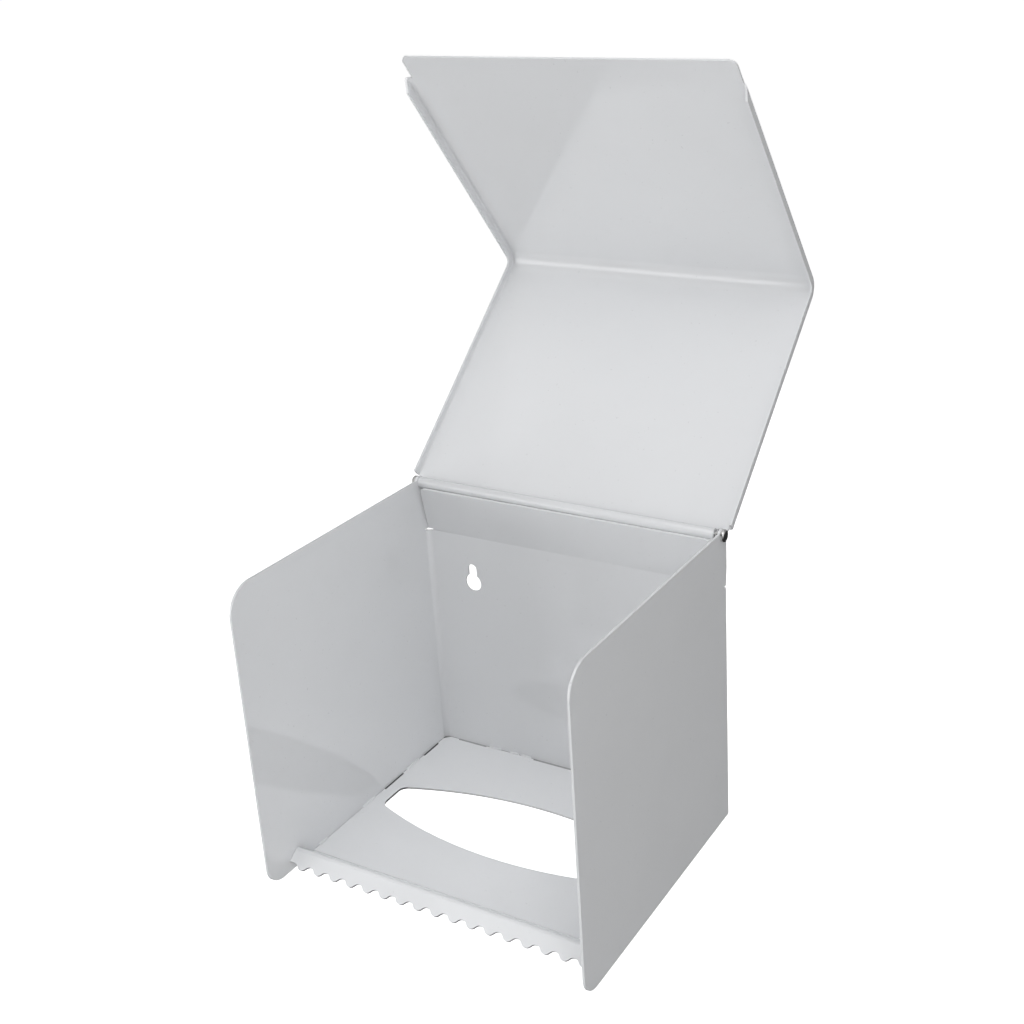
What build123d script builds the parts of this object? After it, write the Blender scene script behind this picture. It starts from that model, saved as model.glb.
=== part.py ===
"""Wall-mounted sheet steel dispenser box with a hinged L-shaped lid, shown with the lid open.

Millimetres.  The origin lies midway between the two keyhole entry holes, on the rear face that
rests on the wall.  +X is to the right seen from the front, +Y points into the wall, +Z is up.
"""
import os
from math import cos, radians, sin

from build123d import *

os.makedirs("parts", exist_ok=True)

# Sheet metal
sheet = 0.9
bend_inside = 0.8
bend_outside = bend_inside + sheet
corner_inside = 2.0
corner_outside = corner_inside + sheet
beyond = 5.0  # how far a cutting shape runs past the metal

# Housing
width = 136.0
depth = 117.0
height = 123.0
half_width = width / 2
inside = half_width - sheet
front_top_radius = 11.0
front_bottom_radius = 8.0

# Keyholes in the back panel
keyhole_spacing = 93.0
keyhole_height = 79.0
entry_radius = 3.75
slot_radius = 2.0
slot_rise = 6.3
bottom_z = -keyhole_height
top_z = bottom_z + height

# Back strip, bent forward above a relief slot at each rear corner
strip_fold_z = bottom_z + 100.0
strip_half_width = 66.9
strip_top_half_width = 65.4
strip_lean = 5.4
strip_rise = 20.15
strip_corner_radius = 2.0
strip_bend_radius = 2.5
strip_overlap = 0.5
relief_half_width = 64.6
relief_height = 0.3
relief_depth = 0.8
relief_slant = 7.0

# Hinge
hinge_y = -3.7
hinge_z = bottom_z + 121.85
rod_radius = 1.2
rod_hole_radius = rod_radius + 0.05
barrel_inside = rod_radius + 0.06
barrel_outside = barrel_inside + sheet
barrel_left = -66.9
barrel_right = 65.2
barrel_end_angle = -20.0
ear_radius = 2.5
stop_ledge_z = hinge_z + 0.1
head_radius = 2.45
head_gap = 0.05
head_height = 1.5
head_round = 0.7
cap_height = 1.8
cap_bore_depth = 1.2

# Lid: measured in the hinge plane, u up the cover from the hinge axis, v to the cover's inner side
open_rise = 40.5
lid_side_play = -0.05
lid_fold_angle = 91.65
lid_fold_radius = 6.5
lid_half_width = 71.0
cover_start = 2.85
cover_length = 114.0
front_length = 121.3
lip_depth = 3.2
lip_start = 3.7
lip_start_half_width = 69.0
lip_end_slope = 6.0
plain_end = 11.0
plain_end_left = -67.4
plain_end_right = 69.8
plain_end_radius = 3.0

# Base plate, with its outlet and the tear ridge along the front
base_gap = 0.15
base_rear_gap = 0.35
base_corner_chamfer = 2.4
ramp_start_y = -92.3
ridge_y = -100.5
ridge_height = 7.6
flange_slope = 38.0
flange_bend_radius = 1.6
outlet_centre_y = -48.7
outlet_half_length = 61.2
outlet_half_height = 18.0
outlet_end_half_height = 6.6
outlet_corner_radius = 4.0
edge_recess_depth = 0.7
side_recesses = [(-18.7, -8.0), (-46.5, -33.6)]
rear_recesses = [(-60.0, -46.0), (-22.0, 22.0), (46.0, 60.0)]

# Tear teeth, measured down the flange from the ridge
tooth_count = 17
tooth_pitch = 7.63
tooth_root = 5.6
tooth_tip = 7.5
tooth_root_width = 5.4
tooth_tip_width = 2.2
tooth_tip_radius = 2.0
tooth_valley_radius = 2.0

# Weld tacks between base plate and housing: centre along the joint, length
tack_radius = 0.6
tack_end_radius = 0.35
side_tacks = [(-26.5, 9.0), (-57.0, 8.0), (-86.0, 5.0)]
rear_tacks = [(26.0, 5.0), (32.0, 4.5), (41.5, 6.0)]


def add_rectangle(low, high, mode=Mode.ADD):
    """Add a rectangle between two opposite corners to the sketch in hand."""
    with Locations(((low[0] + high[0]) / 2, (low[1] + high[1]) / 2)):
        Rectangle(high[0] - low[0], high[1] - low[1], mode=mode)


# Planes that several pieces share
axle_plane = Plane(origin=(0, hinge_y, hinge_z), x_dir=(0, 1, 0), z_dir=(1, 0, 0))
rise = radians(open_rise)
hinge_plane = Plane(
    origin=(lid_side_play, hinge_y, hinge_z),
    x_dir=(0, cos(rise), sin(rise)),
    z_dir=(1, 0, 0),
)
fold_point = hinge_plane.from_local_coords((cover_length, -barrel_inside, 0))
front_rise = radians(open_rise + 180 - lid_fold_angle)
front_direction = (0, cos(front_rise), sin(front_rise))
front_normal = (0, -sin(front_rise), cos(front_rise))
front_face = Plane(origin=fold_point, x_dir=(1, 0, 0), z_dir=front_normal)
front_side = Plane(origin=fold_point, x_dir=front_direction, z_dir=(1, 0, 0))

relief_top_z = strip_fold_z + relief_height

# Housing: the back panel and both side panels are one folded sheet
with BuildPart() as housing:
    with BuildSketch(Plane.XY.offset(bottom_z)) as plan:
        Rectangle(width, depth / 2, align=(Align.CENTER, Align.MAX))
        fillet(plan.vertices().group_by(Axis.Y)[-1], corner_outside)
        with BuildSketch(mode=Mode.SUBTRACT) as room:
            add_rectangle((-inside, -depth), (inside, -sheet))
            fillet(room.vertices().group_by(Axis.Y)[-1], corner_inside)
    extrude(amount=strip_fold_z - bottom_z)
    for plane in (Plane.YZ.offset(inside), Plane.YZ.offset(-half_width)):
        with BuildSketch(plane) as side:
            add_rectangle((-depth, bottom_z), (-relief_depth, top_z))
            front_corners = side.vertices().group_by(Axis.X)[0].sort_by(Axis.Y)
            fillet(front_corners[-1], front_top_radius)
            fillet(side.vertices().group_by(Axis.Y)[0].sort_by(Axis.X)[0], front_bottom_radius)
            with BuildLine():
                Polyline(
                    (-2 * relief_depth, relief_top_z),
                    (-relief_depth, relief_top_z),
                    (0, relief_top_z + relief_slant),
                    (0, stop_ledge_z),
                    (-2 * relief_depth, stop_ledge_z),
                    close=True,
                )
            make_face()
            with Locations((hinge_y, hinge_z)):
                Circle(ear_radius)
                Circle(rod_hole_radius, mode=Mode.SUBTRACT)
        extrude(amount=sheet)
    with BuildSketch(Plane.YZ) as strip_section:
        with BuildLine():
            strip_path = FilletPolyline(
                (-sheet / 2, strip_fold_z - strip_overlap),
                (-sheet / 2, strip_fold_z),
                (-sheet / 2 - strip_lean, strip_fold_z + strip_rise),
                radius=strip_bend_radius,
            )
        trace(strip_path, line_width=sheet)
    extrude(amount=strip_half_width, both=True)
    with BuildSketch(Plane.XZ) as strip_trim:
        for side_sign in (-1, 1):
            with BuildLine():
                Polyline(
                    (side_sign * relief_half_width, strip_fold_z - strip_overlap),
                    (side_sign * relief_half_width, relief_top_z),
                    (side_sign * strip_half_width, relief_top_z),
                    (side_sign * strip_top_half_width, top_z),
                    (side_sign * inside, top_z),
                    (side_sign * inside, strip_fold_z - strip_overlap),
                    close=True,
                )
            make_face()
    extrude(amount=2 * strip_lean, mode=Mode.SUBTRACT)
    across_sheet = housing.edges().filter_by(lambda edge: abs(edge.length - sheet) < 0.01)
    strip_corners = across_sheet.filter_by_position(Axis.Y, -strip_lean - 2 * sheet, -strip_lean)
    fillet(strip_corners.filter_by_position(Axis.X, -inside, inside), strip_corner_radius)
    for x in (-half_width, half_width):
        with BuildSketch(Plane.XY.offset(strip_fold_z - strip_overlap)):
            with Locations((x, 0)):
                Rectangle(2 * (half_width - relief_half_width), 2 * corner_outside)
        extrude(amount=strip_overlap + relief_height, mode=Mode.SUBTRACT)
    with BuildSketch(Plane.XZ.offset(-beyond)) as keyholes:
        for x in (-keyhole_spacing / 2, keyhole_spacing / 2):
            with Locations((x, 0)):
                Circle(entry_radius)
            with Locations((x, slot_rise)):
                Circle(slot_radius)
            add_rectangle((x - slot_radius, 0), (x + slot_radius, slot_rise))
    extrude(amount=2 * beyond, mode=Mode.SUBTRACT)
housing.part.label = "housing"
export_step(housing.part, "parts/housing.step")

# Base plate: flat floor with the outlet, then a ramp up to the ridge and the toothed flange down
floor_half_width = inside - base_gap
flange_drop = radians(flange_slope)
ridge_point = (0, ridge_y, bottom_z + ridge_height)
flange_plane = Plane(
    origin=ridge_point,
    x_dir=(1, 0, 0),
    z_dir=(0, sin(flange_drop), -cos(flange_drop)),
)
tooth_edge = [(-half_width, tooth_root)]
for index in range(tooth_count):
    centre = (index - (tooth_count - 1) / 2) * tooth_pitch
    tooth_edge.append((centre - tooth_root_width / 2, tooth_root))
    tooth_edge.append((centre - tooth_tip_width / 2, tooth_tip))
    tooth_edge.append((centre + tooth_tip_width / 2, tooth_tip))
    tooth_edge.append((centre + tooth_root_width / 2, tooth_root))
tooth_edge.append((half_width, tooth_root))
tooth_edge.append((half_width, tooth_tip + beyond))
tooth_edge.append((-half_width, tooth_tip + beyond))

with BuildPart() as base_plate:
    with BuildSketch(Plane.YZ) as base_section:
        with BuildLine():
            base_path = FilletPolyline(
                (-sheet - base_rear_gap, bottom_z + sheet / 2),
                (ramp_start_y, bottom_z + sheet / 2),
                (ridge_y, bottom_z + ridge_height),
                (
                    ridge_y - (tooth_tip + 1) * cos(flange_drop),
                    bottom_z + ridge_height - (tooth_tip + 1) * sin(flange_drop),
                ),
                radius=flange_bend_radius,
            )
        trace(base_path, line_width=sheet)
    extrude(amount=floor_half_width, both=True)
    with BuildSketch(flange_plane) as tooth_gaps:
        with BuildLine():
            Polyline(*tooth_edge, close=True)
        make_face()
        tips = tooth_gaps.vertices().filter_by_position(Axis.Y, tooth_tip - 0.1, tooth_tip + 0.1)
        fillet(tips, tooth_tip_radius)
        valleys = tooth_gaps.vertices().filter_by_position(Axis.Y, tooth_root - 0.1, tooth_root + 0.1)
        fillet(valleys.filter_by_position(Axis.X, 1 - half_width, half_width - 1), tooth_valley_radius)
    extrude(amount=2 * sheet, both=True, mode=Mode.SUBTRACT)
    with BuildSketch(Plane.XY.offset(bottom_z)) as floor_cuts:
        rear_y = outlet_centre_y + outlet_end_half_height
        front_y = outlet_centre_y - outlet_end_half_height
        with BuildLine():
            ThreePointArc(
                (-outlet_half_length, rear_y),
                (0, outlet_centre_y + outlet_half_height),
                (outlet_half_length, rear_y),
            )
            Line((outlet_half_length, rear_y), (outlet_half_length, front_y))
            ThreePointArc(
                (outlet_half_length, front_y),
                (0, outlet_centre_y - outlet_half_height),
                (-outlet_half_length, front_y),
            )
            Line((-outlet_half_length, front_y), (-outlet_half_length, rear_y))
        make_face()
        fillet(floor_cuts.vertices(), outlet_corner_radius)
        rear_edge_y = -sheet - base_rear_gap
        for low_x, high_x in rear_recesses:
            add_rectangle((low_x, rear_edge_y - edge_recess_depth), (high_x, 0))
        for side_sign in (-1, 1):
            for front, rear in side_recesses:
                with Locations((side_sign * floor_half_width, (front + rear) / 2)):
                    Rectangle(2 * edge_recess_depth, rear - front)
            with Locations((side_sign * floor_half_width, rear_edge_y)):
                Rectangle(2**0.5 * base_corner_chamfer, 2**0.5 * base_corner_chamfer, rotation=45)
    extrude(amount=sheet, mode=Mode.SUBTRACT)
base_plate.part.label = "base_plate"
export_step(base_plate.part, "parts/base_plate.step")

# Weld tacks: quarter-round beads in the corners above the base plate
with BuildPart() as base_welds:
    for side_sign in (-1, 1):
        for centre, length in side_tacks:
            start = centre - length / 2
            bead_plane = Plane(
                origin=(side_sign * inside, start, bottom_z + sheet),
                x_dir=(-side_sign, 0, 0),
                z_dir=(0, side_sign, 0),
            )
            with BuildSketch(bead_plane):
                Circle(tack_radius)
                Rectangle(tack_radius, tack_radius, align=Align.MIN, mode=Mode.INTERSECT)
            extrude(amount=side_sign * length)
        for centre, length in rear_tacks:
            bead_plane = Plane(
                origin=(side_sign * centre - length / 2, -sheet, bottom_z + sheet),
                x_dir=(0, -1, 0),
                z_dir=(1, 0, 0),
            )
            with BuildSketch(bead_plane):
                Circle(tack_radius)
                add_rectangle((0, -tack_radius), (tack_radius, 0), mode=Mode.INTERSECT)
            extrude(amount=length)
    crown = base_welds.edges().filter_by(GeomType.CIRCLE)
    fillet(crown, tack_end_radius)
base_welds.part.label = "base_welds"
export_step(base_welds.part, "parts/base_welds.step")

# Hinge rod: plain from end to end, with a formed head at the right
with BuildPart() as hinge_rod:
    with BuildSketch(axle_plane.offset(-half_width - cap_bore_depth)):
        Circle(rod_radius)
    extrude(amount=2 * half_width + cap_bore_depth + head_gap)
    with BuildSketch(axle_plane.offset(half_width + head_gap)):
        Circle(head_radius)
    extrude(amount=head_height)
    fillet(hinge_rod.edges().group_by(Axis.X)[-1], head_round)
hinge_rod.part.label = "hinge_rod"
export_step(hinge_rod.part, "parts/hinge_rod.step")

# Push-on cap over the left end of the rod
with BuildPart() as rod_cap:
    with BuildSketch(axle_plane.offset(-half_width - cap_height)):
        Circle(head_radius)
    extrude(amount=cap_height)
    fillet(rod_cap.edges().group_by(Axis.X)[0], head_round)
    with BuildSketch(axle_plane.offset(-half_width)):
        Circle(rod_radius)
    extrude(amount=-cap_bore_depth, mode=Mode.SUBTRACT)
rod_cap.part.label = "rod_cap"
export_step(rod_cap.part, "parts/rod_cap.step")

# Lid: cover panel and front panel in one folded sheet, side lips, and a rear edge curled into
# the hinge barrel
with BuildPart() as lid:
    with BuildLine(hinge_plane) as lid_line:
        front_end = radians(180 - lid_fold_angle)
        lid_path = FilletPolyline(
            (cover_start, -barrel_inside),
            (cover_length, -barrel_inside),
            (
                cover_length + front_length * cos(front_end),
                -barrel_inside + front_length * sin(front_end),
            ),
            radius=lid_fold_radius,
        )
    tray_plane = Plane(origin=lid_path @ 0, x_dir=(-1, 0, 0), z_dir=lid_path % 0)
    with BuildSketch(tray_plane) as tray_section:
        add_rectangle((-lid_half_width, -sheet), (lid_half_width, lip_depth))
        fillet(tray_section.vertices().group_by(Axis.Y)[0], bend_outside)
        with BuildSketch(mode=Mode.SUBTRACT) as tray_room:
            add_rectangle((sheet - lid_half_width, 0), (lid_half_width - sheet, lip_depth))
            fillet(tray_room.vertices().group_by(Axis.Y)[0], bend_inside)
    sweep(path=lid_path)
    for start, reach in ((lip_start_half_width, beyond), (-lip_start_half_width, -beyond)):
        with BuildSketch(hinge_plane.offset(start)):
            add_rectangle((0, -2 * barrel_outside), (lip_start, lip_depth))
        extrude(amount=reach, mode=Mode.SUBTRACT)
    lip_end = front_length - plain_end
    with BuildSketch(front_side):
        with BuildLine():
            Polyline(
                (lip_end, 0),
                (lip_end - lip_end_slope, lip_depth + sheet),
                (front_length + beyond, lip_depth + sheet),
                (front_length + beyond, 0),
                close=True,
            )
        make_face()
    extrude(amount=lid_half_width, both=True, mode=Mode.SUBTRACT)
    with BuildSketch(front_face) as end_trim:
        add_rectangle((-lid_half_width, lip_end), (lid_half_width, front_length + beyond))
        with BuildSketch(mode=Mode.SUBTRACT) as plain:
            add_rectangle((plain_end_left, lip_end - beyond), (plain_end_right, front_length))
            fillet(plain.vertices().group_by(Axis.Y)[-1], plain_end_radius)
    extrude(amount=beyond, both=True, mode=Mode.SUBTRACT)
    with BuildSketch(hinge_plane.offset(barrel_left)) as barrel_section:
        Circle(barrel_outside)
        Circle(barrel_inside, mode=Mode.SUBTRACT)
        with BuildLine():
            seam = radians(barrel_end_angle)
            Polyline(
                (0, 0),
                (beyond * cos(seam), beyond * sin(seam)),
                (beyond, -beyond),
                (0, -beyond),
                close=True,
            )
        make_face(mode=Mode.SUBTRACT)
        add_rectangle((0, -barrel_outside), (2 * cover_start, -barrel_inside))
    extrude(amount=barrel_right - barrel_left)
lid.part.label = "lid"
export_step(lid.part, "parts/lid.step")
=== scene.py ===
"""Look of the wall-mounted sheet steel dispenser box: coat, steel, light and camera.

Metres.  +X is to the right seen from the front, +Y points into the wall, +Z is up.
"""
import math

import bpy
from mathutils import Euler, Matrix, Vector


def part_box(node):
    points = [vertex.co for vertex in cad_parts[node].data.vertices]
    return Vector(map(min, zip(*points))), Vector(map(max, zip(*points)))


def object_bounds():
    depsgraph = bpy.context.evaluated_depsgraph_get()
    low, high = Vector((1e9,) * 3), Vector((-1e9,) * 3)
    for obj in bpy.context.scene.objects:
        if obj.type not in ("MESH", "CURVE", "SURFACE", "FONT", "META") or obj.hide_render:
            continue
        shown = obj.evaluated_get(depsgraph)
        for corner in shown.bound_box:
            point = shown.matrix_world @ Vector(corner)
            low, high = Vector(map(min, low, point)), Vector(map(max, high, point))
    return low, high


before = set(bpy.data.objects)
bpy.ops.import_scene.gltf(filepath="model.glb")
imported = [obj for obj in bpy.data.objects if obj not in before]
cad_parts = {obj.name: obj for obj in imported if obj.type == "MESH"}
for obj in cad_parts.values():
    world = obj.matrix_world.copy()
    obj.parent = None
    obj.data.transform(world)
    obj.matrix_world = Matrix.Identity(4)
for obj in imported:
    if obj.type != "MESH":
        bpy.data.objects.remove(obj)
cad_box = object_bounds()

# Camera: in front, to the right and a little higher than the open lid
CAMERA_PLACE = (0.265695, -0.440051, 0.256172)
CAMERA_TURN = (69.8097, 2.1410, 28.1878)  # degrees about X, Y and Z
CAMERA_LENS = 50.098  # millimetres on a sensor 36 mm wide
CAMERA_SHIFT = (-0.09908, -0.06783)

# Tones of coat and steel
COAT = (0.80, 0.81, 0.825)
BASE_COAT = (0.83, 0.84, 0.855)  # whiter, to make up for the little light that its floor gets
CLOUD = 0.988  # share of the coat's tone in its faintly darker clouds
SPECK = 0.80  # and in its specks
COAT_GLOSS = 1.53  # index of refraction
# Painted shade in the gaps of the joint between housing and base plate
SEAM_SIDE_SHADE = (0.14, 0.14, 0.145)
SEAM_REAR_SHADE = (0.50, 0.50, 0.51)
# Painted shade on the base plate's cut edges, which face away from the light
OUTLET_LONG_EDGE_SHADE = (0.66, 0.66, 0.67)
OUTLET_END_EDGE_SHADE = (0.11, 0.11, 0.115)
TOOTH_EDGE_SHADE = (0.15, 0.15, 0.155)
STEEL_BRIGHT = (0.80, 0.80, 0.79)
STEEL_DULL = (0.50, 0.50, 0.50)

# Places on the object where painted shade goes into the coat's tone
floor_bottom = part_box("base_plate")[0].z
SEAM_HEIGHT = 0.0008  # top of the painted shade in the joint, above the underside of the floor
SEAM_HALF_WIDTH = 0.0672
JOINT_MIDDLE_Y = -0.0500  # painted shade in the joint's gaps behind here; closed and coated in front
REAR_JOINT_Y = -0.0030
RAMP_Y = -0.0905  # the flat floor lies behind here
TOOTH_Y = -0.1022  # the flange and its teeth lie in front of here
DOWN_THE_FLANGE = (0.0, -0.788, -0.616)

# Rounding of the sheets' edges
EDGE_ROUNDING = {"housing": 0.00025, "base_plate": 0.00022, "lid": 0.00025, "rod_cap": 0.0002}
EDGE_ANGLE = math.radians(50)
SAME_POINT = 0.000001

# Soft boxes round the object: azimuth from the front towards the right, height angle,
# distance, size, watts
SOFT_BOXES = {
    "front_top": (30, 62, 1.3, 1.0, 3.5),
    "front_high": (30, 42, 1.3, 1.0, 2.2),
    "right": (60, 15, 1.3, 1.0, 2.8),
    "right_low": (50, -8, 1.3, 1.0, 2.3),
    "top": (0, 80, 1.3, 1.7, 4.9),
    "left_low": (315, -8, 1.3, 1.0, 7.8),
    "rear_right": (120, 15, 1.3, 1.0, 1.7),
    "rear": (190, 12, 1.3, 1.0, 3.2),
    "near_front_high": (20, 55, 0.75, 0.55, 0.75),
    "near_left": (320, 5, 0.75, 0.55, 0.55),
    "near_left_high": (320, 30, 0.75, 0.55, 0.5),
}
LIT_POINT = Vector((0, -0.03, 0.05))
MIRRORED_FROM = 1.0  # soft boxes nearer than this don't show in reflections

# Surroundings
FLOOR_HALF_SIZE = 60.0
FLOOR_DROP = 0.25  # below the object
FLOOR_TONE = 0.9
FLOOR_TONE_MIRRORED = 0.03
SKY_MIRRORED = 0.12
SKY_LIGHT = 0.01

scene = bpy.context.scene
scene.view_settings.view_transform = "Standard"
scene.view_settings.look = "None"


# ---------------------------------------------------------------- camera
def make_camera():
    """The camera at the viewing angle in which the object is shown."""
    data = bpy.data.cameras.new("camera")
    camera = bpy.data.objects.new("camera", data)
    scene.collection.objects.link(camera)
    turn = Euler([math.radians(angle) for angle in CAMERA_TURN])
    camera.matrix_world = Matrix.LocRotScale(Vector(CAMERA_PLACE), turn, None)
    data.sensor_width = 36.0
    data.lens = CAMERA_LENS
    data.shift_x, data.shift_y = CAMERA_SHIFT
    data.clip_start = 0.01
    data.clip_end = 200.0
    scene.camera = camera


# ---------------------------------------------------------------- materials
class Nodes:
    """A new material, with short helpers for building its node tree."""

    def __init__(self, name, shift):
        """Start the material, its pattern moved by shift so that no two pieces repeat it."""
        self.material = bpy.data.materials.new(name)
        self.material.use_nodes = True
        self.tree = self.material.node_tree
        self.shader = self.tree.nodes["Principled BSDF"]
        self.coordinates = self.add("ShaderNodeTexCoord")
        offset = self.add("ShaderNodeMapping")
        offset.inputs["Location"].default_value = shift
        self.link(self.coordinates.outputs["Object"], offset.inputs["Vector"])
        self.place = offset.outputs["Vector"]

    def add(self, kind, **values):
        node = self.tree.nodes.new(kind)
        for name, value in values.items():
            setattr(node, name, value)
        return node

    def link(self, source, target):
        self.tree.links.new(source, target)

    def noise(self, scale, detail, rough=0.5, stretch=None):
        node = self.add("ShaderNodeTexNoise")
        node.inputs["Scale"].default_value = scale
        node.inputs["Detail"].default_value = detail
        node.inputs["Roughness"].default_value = rough
        place = self.place
        if stretch is not None:
            mapping = self.add("ShaderNodeMapping")
            mapping.inputs["Scale"].default_value = stretch
            self.link(place, mapping.inputs["Vector"])
            place = mapping.outputs["Vector"]
        self.link(place, node.inputs["Vector"])
        return node.outputs["Fac"]

    def split(self, output):
        """The X, Y and Z outputs of the texture coordinates' given output."""
        node = self.add("ShaderNodeSeparateXYZ")
        self.link(self.coordinates.outputs[output], node.inputs["Vector"])
        return node.outputs

    def calculate(self, operation, *values):
        node = self.add("ShaderNodeMath", operation=operation)
        for socket, value in zip(node.inputs, values):
            self.link(value, socket)
        return node.outputs["Value"]

    def remap(self, value, low, high, out_low, out_high):
        node = self.add("ShaderNodeMapRange")
        node.inputs["From Min"].default_value = low
        node.inputs["From Max"].default_value = high
        node.inputs["To Min"].default_value = out_low
        node.inputs["To Max"].default_value = out_high
        self.link(value, node.inputs["Value"])
        return node.outputs["Result"]

    def mix(self, factor, first, second):
        node = self.add("ShaderNodeMix", data_type="RGBA")
        self.link(factor, node.inputs["Factor"])
        for socket, colour in ((node.inputs["A"], first), (node.inputs["B"], second)):
            if isinstance(colour, tuple):
                socket.default_value = (*colour, 1.0)
            else:
                self.link(colour, socket)
        return node.outputs["Result"]

    def bump(self, height, strength, distance, after=None):
        node = self.add("ShaderNodeBump")
        node.inputs["Strength"].default_value = strength
        node.inputs["Distance"].default_value = distance
        self.link(height, node.inputs["Height"])
        if after is not None:
            self.link(after, node.inputs["Normal"])
        return node.outputs["Normal"]


def painted_seam_shade(nodes, tone):
    """Paint shade on the housing in the gaps of its joint with the base plate: dark along the sides,
    greyer at the rear.
    """
    place = nodes.split("Object")
    top = floor_bottom + SEAM_HEIGHT
    low = nodes.remap(place["Z"], top, top + 0.00008, 1.0, 0.0)
    across = nodes.calculate("ABSOLUTE", place["X"])
    inside = nodes.remap(across, SEAM_HALF_WIDTH, SEAM_HALF_WIDTH + 0.0002, 1.0, 0.0)
    behind = nodes.remap(place["Y"], JOINT_MIDDLE_Y, JOINT_MIDDLE_Y + 0.0025, 0.0, 1.0)
    shaded = nodes.calculate("MULTIPLY", nodes.calculate("MULTIPLY", low, inside), behind)
    rear = nodes.remap(place["Y"], REAR_JOINT_Y, REAR_JOINT_Y + 0.0018, 0.0, 1.0)
    return nodes.mix(shaded, tone, nodes.mix(rear, SEAM_SIDE_SHADE, SEAM_REAR_SHADE))


def painted_edge_shade(nodes, tone):
    """Paint shade on the base plate's cut edges, which face away from the light.

    The painted shade is darkest at the outlet's ends and under the teeth, and greyer along the outlet.
    """
    facing = nodes.split("Normal")
    place = nodes.split("Object")
    upright = nodes.calculate("ABSOLUTE", facing["Z"])
    sideways = nodes.calculate("ABSOLUTE", facing["X"])
    end = nodes.remap(sideways, 0.1, 0.7, 0.0, 1.0)
    cut = nodes.remap(upright, 0.25, 0.45, 1.0, 0.0)
    on_floor = nodes.remap(place["Y"], RAMP_Y, RAMP_Y + 0.0005, 0.0, 1.0)
    outlet_edge = nodes.calculate("MULTIPLY", cut, on_floor)
    tone = nodes.mix(outlet_edge, tone, nodes.mix(end, OUTLET_LONG_EDGE_SHADE, OUTLET_END_EDGE_SHADE))
    downhill = nodes.add("ShaderNodeVectorMath", operation="DOT_PRODUCT")
    nodes.link(nodes.coordinates.outputs["Normal"], downhill.inputs[0])
    downhill.inputs[1].default_value = DOWN_THE_FLANGE
    rim = nodes.remap(downhill.outputs["Value"], 0.25, 0.55, 0.0, 1.0)
    on_teeth = nodes.remap(place["Y"], TOOTH_Y, TOOTH_Y + 0.0002, 1.0, 0.0)
    return nodes.mix(nodes.calculate("MULTIPLY", rim, on_teeth), tone, TOOTH_EDGE_SHADE)


def coat_material(name, base, shift, painted_shade=None):
    """White powder coat: fine orange peel, long soft waves of the sheet, faint wipes and specks.

    The last argument is a function that paints shade into the tone, in the joint's gaps or on cut
    edges.
    """
    nodes = Nodes(name, shift)
    cloud = nodes.remap(nodes.noise(28.0, 3.0), 0.35, 0.65, 0.0, 1.0)
    tone = nodes.mix(cloud, base, tuple(channel * CLOUD for channel in base))
    dust = nodes.remap(nodes.noise(900.0, 1.0), 0.76, 0.78, 0.0, 0.6)
    tone = nodes.mix(dust, tone, tuple(channel * SPECK for channel in base))
    # painted shade in the joint's gaps and on cut edges
    if painted_shade is not None:
        tone = painted_shade(nodes, tone)
    nodes.link(tone, nodes.shader.inputs["Base Color"])

    wipe = nodes.noise(90.0, 4.0, 0.6, (1.0, 1.0, 0.25))
    nodes.link(nodes.remap(wipe, 0.35, 0.7, 0.045, 0.075), nodes.shader.inputs["Roughness"])
    nodes.shader.inputs["IOR"].default_value = COAT_GLOSS

    waves = nodes.bump(nodes.noise(14.0, 1.0), 0.07, 0.0009)
    peel = nodes.bump(nodes.noise(420.0, 2.0), 0.03, 0.0001, waves)
    nodes.link(peel, nodes.shader.inputs["Normal"])
    return nodes.material


def steel_material(name, shift, roughness):
    """Bright plated steel with turning rings round the rod and small dull spots."""
    nodes = Nodes(name, shift)
    stain = nodes.noise(700.0, 3.0)
    tone = nodes.mix(nodes.remap(stain, 0.4, 0.7, 0.0, 1.0), STEEL_BRIGHT, STEEL_DULL)
    nodes.link(tone, nodes.shader.inputs["Base Color"])
    nodes.shader.inputs["Metallic"].default_value = 1.0
    nodes.link(nodes.remap(stain, 0.3, 0.7, *roughness), nodes.shader.inputs["Roughness"])
    rings = nodes.noise(500.0, 2.0, 0.5, (6.0, 0.4, 0.4))
    nodes.link(nodes.bump(rings, 0.25, 0.0001), nodes.shader.inputs["Normal"])
    return nodes.material


def soften_edges(node, width):
    """Round the piece's sharp edges, as bent and coated sheet has them."""
    weld = node.modifiers.new("join", "WELD")
    weld.merge_threshold = SAME_POINT
    bevel = node.modifiers.new("soft_edges", "BEVEL")
    bevel.width = width
    bevel.segments = 2
    bevel.limit_method = "ANGLE"
    bevel.angle_limit = EDGE_ANGLE
    bevel.use_clamp_overlap = True
    bevel.harden_normals = True


def dress_pieces():
    """Give each piece its material and its soft edges."""
    materials = {
        # the housing and the base plate get painted shade in their joint's gaps and on cut edges
        "housing": coat_material("coat_housing", COAT, (0.0, 0.0, 0.0), painted_seam_shade),
        "base_plate": coat_material("coat_base", BASE_COAT, (0.3, 0.1, 0.2), painted_edge_shade),
        "base_welds": coat_material("coat_welds", COAT, (0.5, 0.2, 0.7)),
        "lid": coat_material("coat_lid", COAT, (0.9, 0.4, 0.1)),
        "hinge_rod": steel_material("steel_rod", (0.0, 0.0, 0.0), (0.18, 0.32)),
        "rod_cap": steel_material("steel_cap", (0.2, 0.0, 0.0), (0.40, 0.55)),
    }
    for name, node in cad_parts.items():
        node.data.materials.clear()
        node.data.materials.append(materials[name])
        if name in EDGE_ROUNDING:
            soften_edges(node, EDGE_ROUNDING[name])


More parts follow.
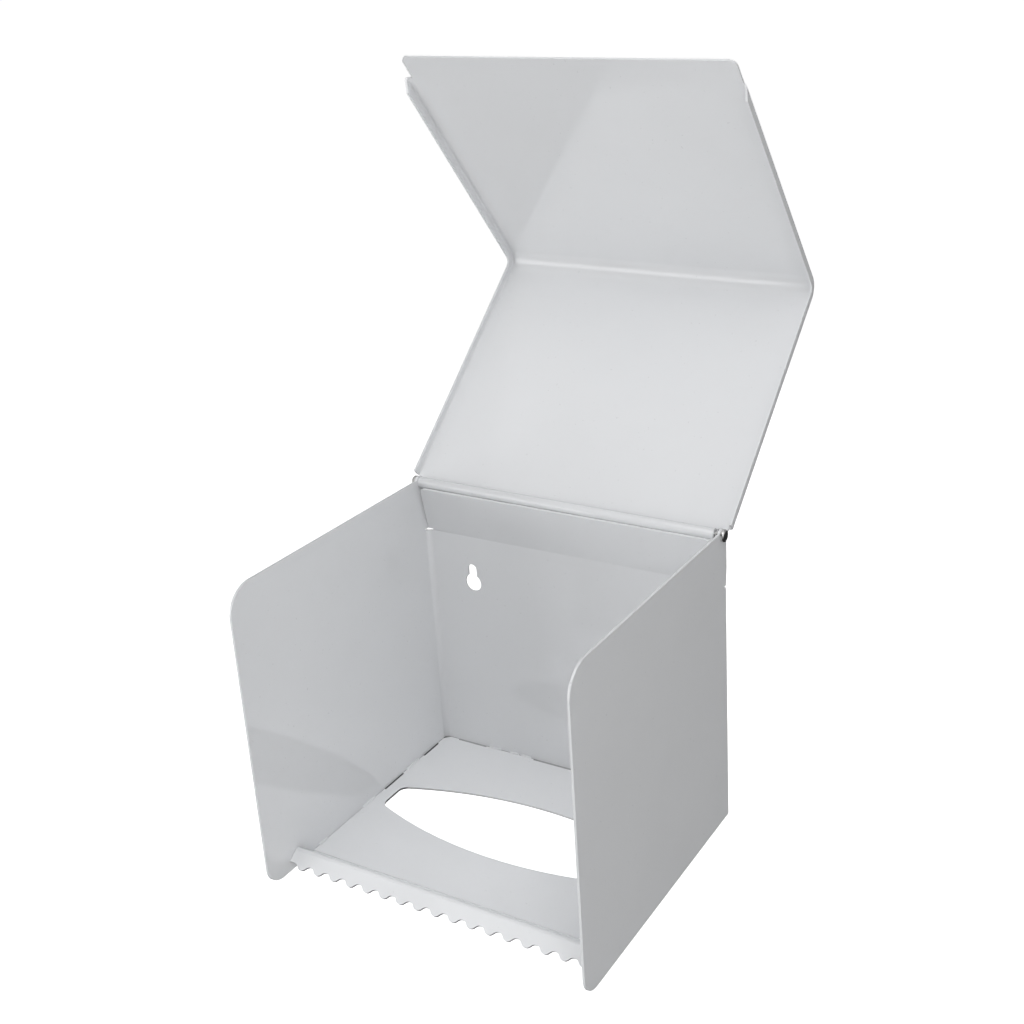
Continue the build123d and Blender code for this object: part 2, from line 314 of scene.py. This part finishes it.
# ---------------------------------------------------------------- floor and light
def strength_by_ray(tree, socket, camera, mirrored, other):
    """Give a strength one value to the camera, one to reflections and one to all other light."""
    path = tree.nodes.new("ShaderNodeLightPath")
    strength = None
    for output, value in (("Is Camera Ray", camera), ("Is Glossy Ray", mirrored)):
        step = tree.nodes.new("ShaderNodeMath")
        step.operation = "MULTIPLY_ADD"
        tree.links.new(path.outputs[output], step.inputs[0])
        step.inputs[1].default_value = value - other
        step.inputs[2].default_value = other
        if strength is not None:
            tree.links.new(strength, step.inputs[2])
        strength = step.outputs["Value"]
    tree.links.new(strength, socket)


def floor_material():
    """Plain white, bright enough to the camera that no shadow shows, and dark in reflections."""
    material = bpy.data.materials.new("floor")
    material.use_nodes = True
    tree = material.node_tree
    shader = tree.nodes["Principled BSDF"]
    shader.inputs["Roughness"].default_value = 1.0
    shader.inputs["Emission Color"].default_value = (1, 1, 1, 1)
    strength_by_ray(tree, shader.inputs["Emission Strength"], 1.0, 0.0, 0.0)
    path = tree.nodes.new("ShaderNodeLightPath")
    tone = tree.nodes.new("ShaderNodeMix")
    tone.data_type = "RGBA"
    tree.links.new(path.outputs["Is Glossy Ray"], tone.inputs["Factor"])
    tone.inputs["A"].default_value = (FLOOR_TONE, FLOOR_TONE, FLOOR_TONE, 1)
    tone.inputs["B"].default_value = (FLOOR_TONE_MIRRORED, FLOOR_TONE_MIRRORED, FLOOR_TONE_MIRRORED, 1)
    tree.links.new(tone.outputs["Result"], shader.inputs["Base Color"])
    return material


def make_floor():
    """A plain sweep of floor under the object."""
    mesh = bpy.data.meshes.new("floor")
    half = FLOOR_HALF_SIZE
    z = cad_box[0].z - FLOOR_DROP
    corners = [(-half, -half, z), (half, -half, z), (half, half, z), (-half, half, z)]
    mesh.from_pydata(corners, [], [(0, 1, 2, 3)])
    mesh.materials.append(floor_material())
    floor = bpy.data.objects.new("floor", mesh)
    scene.collection.objects.link(floor)


def make_soft_box(name, azimuth, height, distance, side, power):
    """One square soft box that faces the object, unseen by the camera."""
    azimuth = math.radians(azimuth)
    height = math.radians(height)
    level = math.cos(height)
    towards = Vector((level * math.sin(azimuth), -level * math.cos(azimuth), math.sin(height)))
    data = bpy.data.lights.new(name, "AREA")
    data.shape = "SQUARE"
    data.size = side
    data.energy = power
    light = bpy.data.objects.new(name, data)
    light.location = LIT_POINT + distance * towards
    light.rotation_euler = (-towards).to_track_quat("-Z", "Y").to_euler()
    light.visible_camera = False
    light.visible_glossy = distance > MIRRORED_FROM
    scene.collection.objects.link(light)


def make_world():
    """White surroundings to the camera, much dimmer in reflections and as light."""
    world = bpy.data.worlds.new("world")
    scene.world = world
    world.use_nodes = True
    background = world.node_tree.nodes["Background"]
    background.inputs["Color"].default_value = (1, 1, 1, 1)
    strength_by_ray(world.node_tree, background.inputs["Strength"], 1.0, SKY_MIRRORED, SKY_LIGHT)


make_camera()
dress_pieces()
make_floor()
for soft_box, values in SOFT_BOXES.items():
    make_soft_box(soft_box, *values)
make_world()
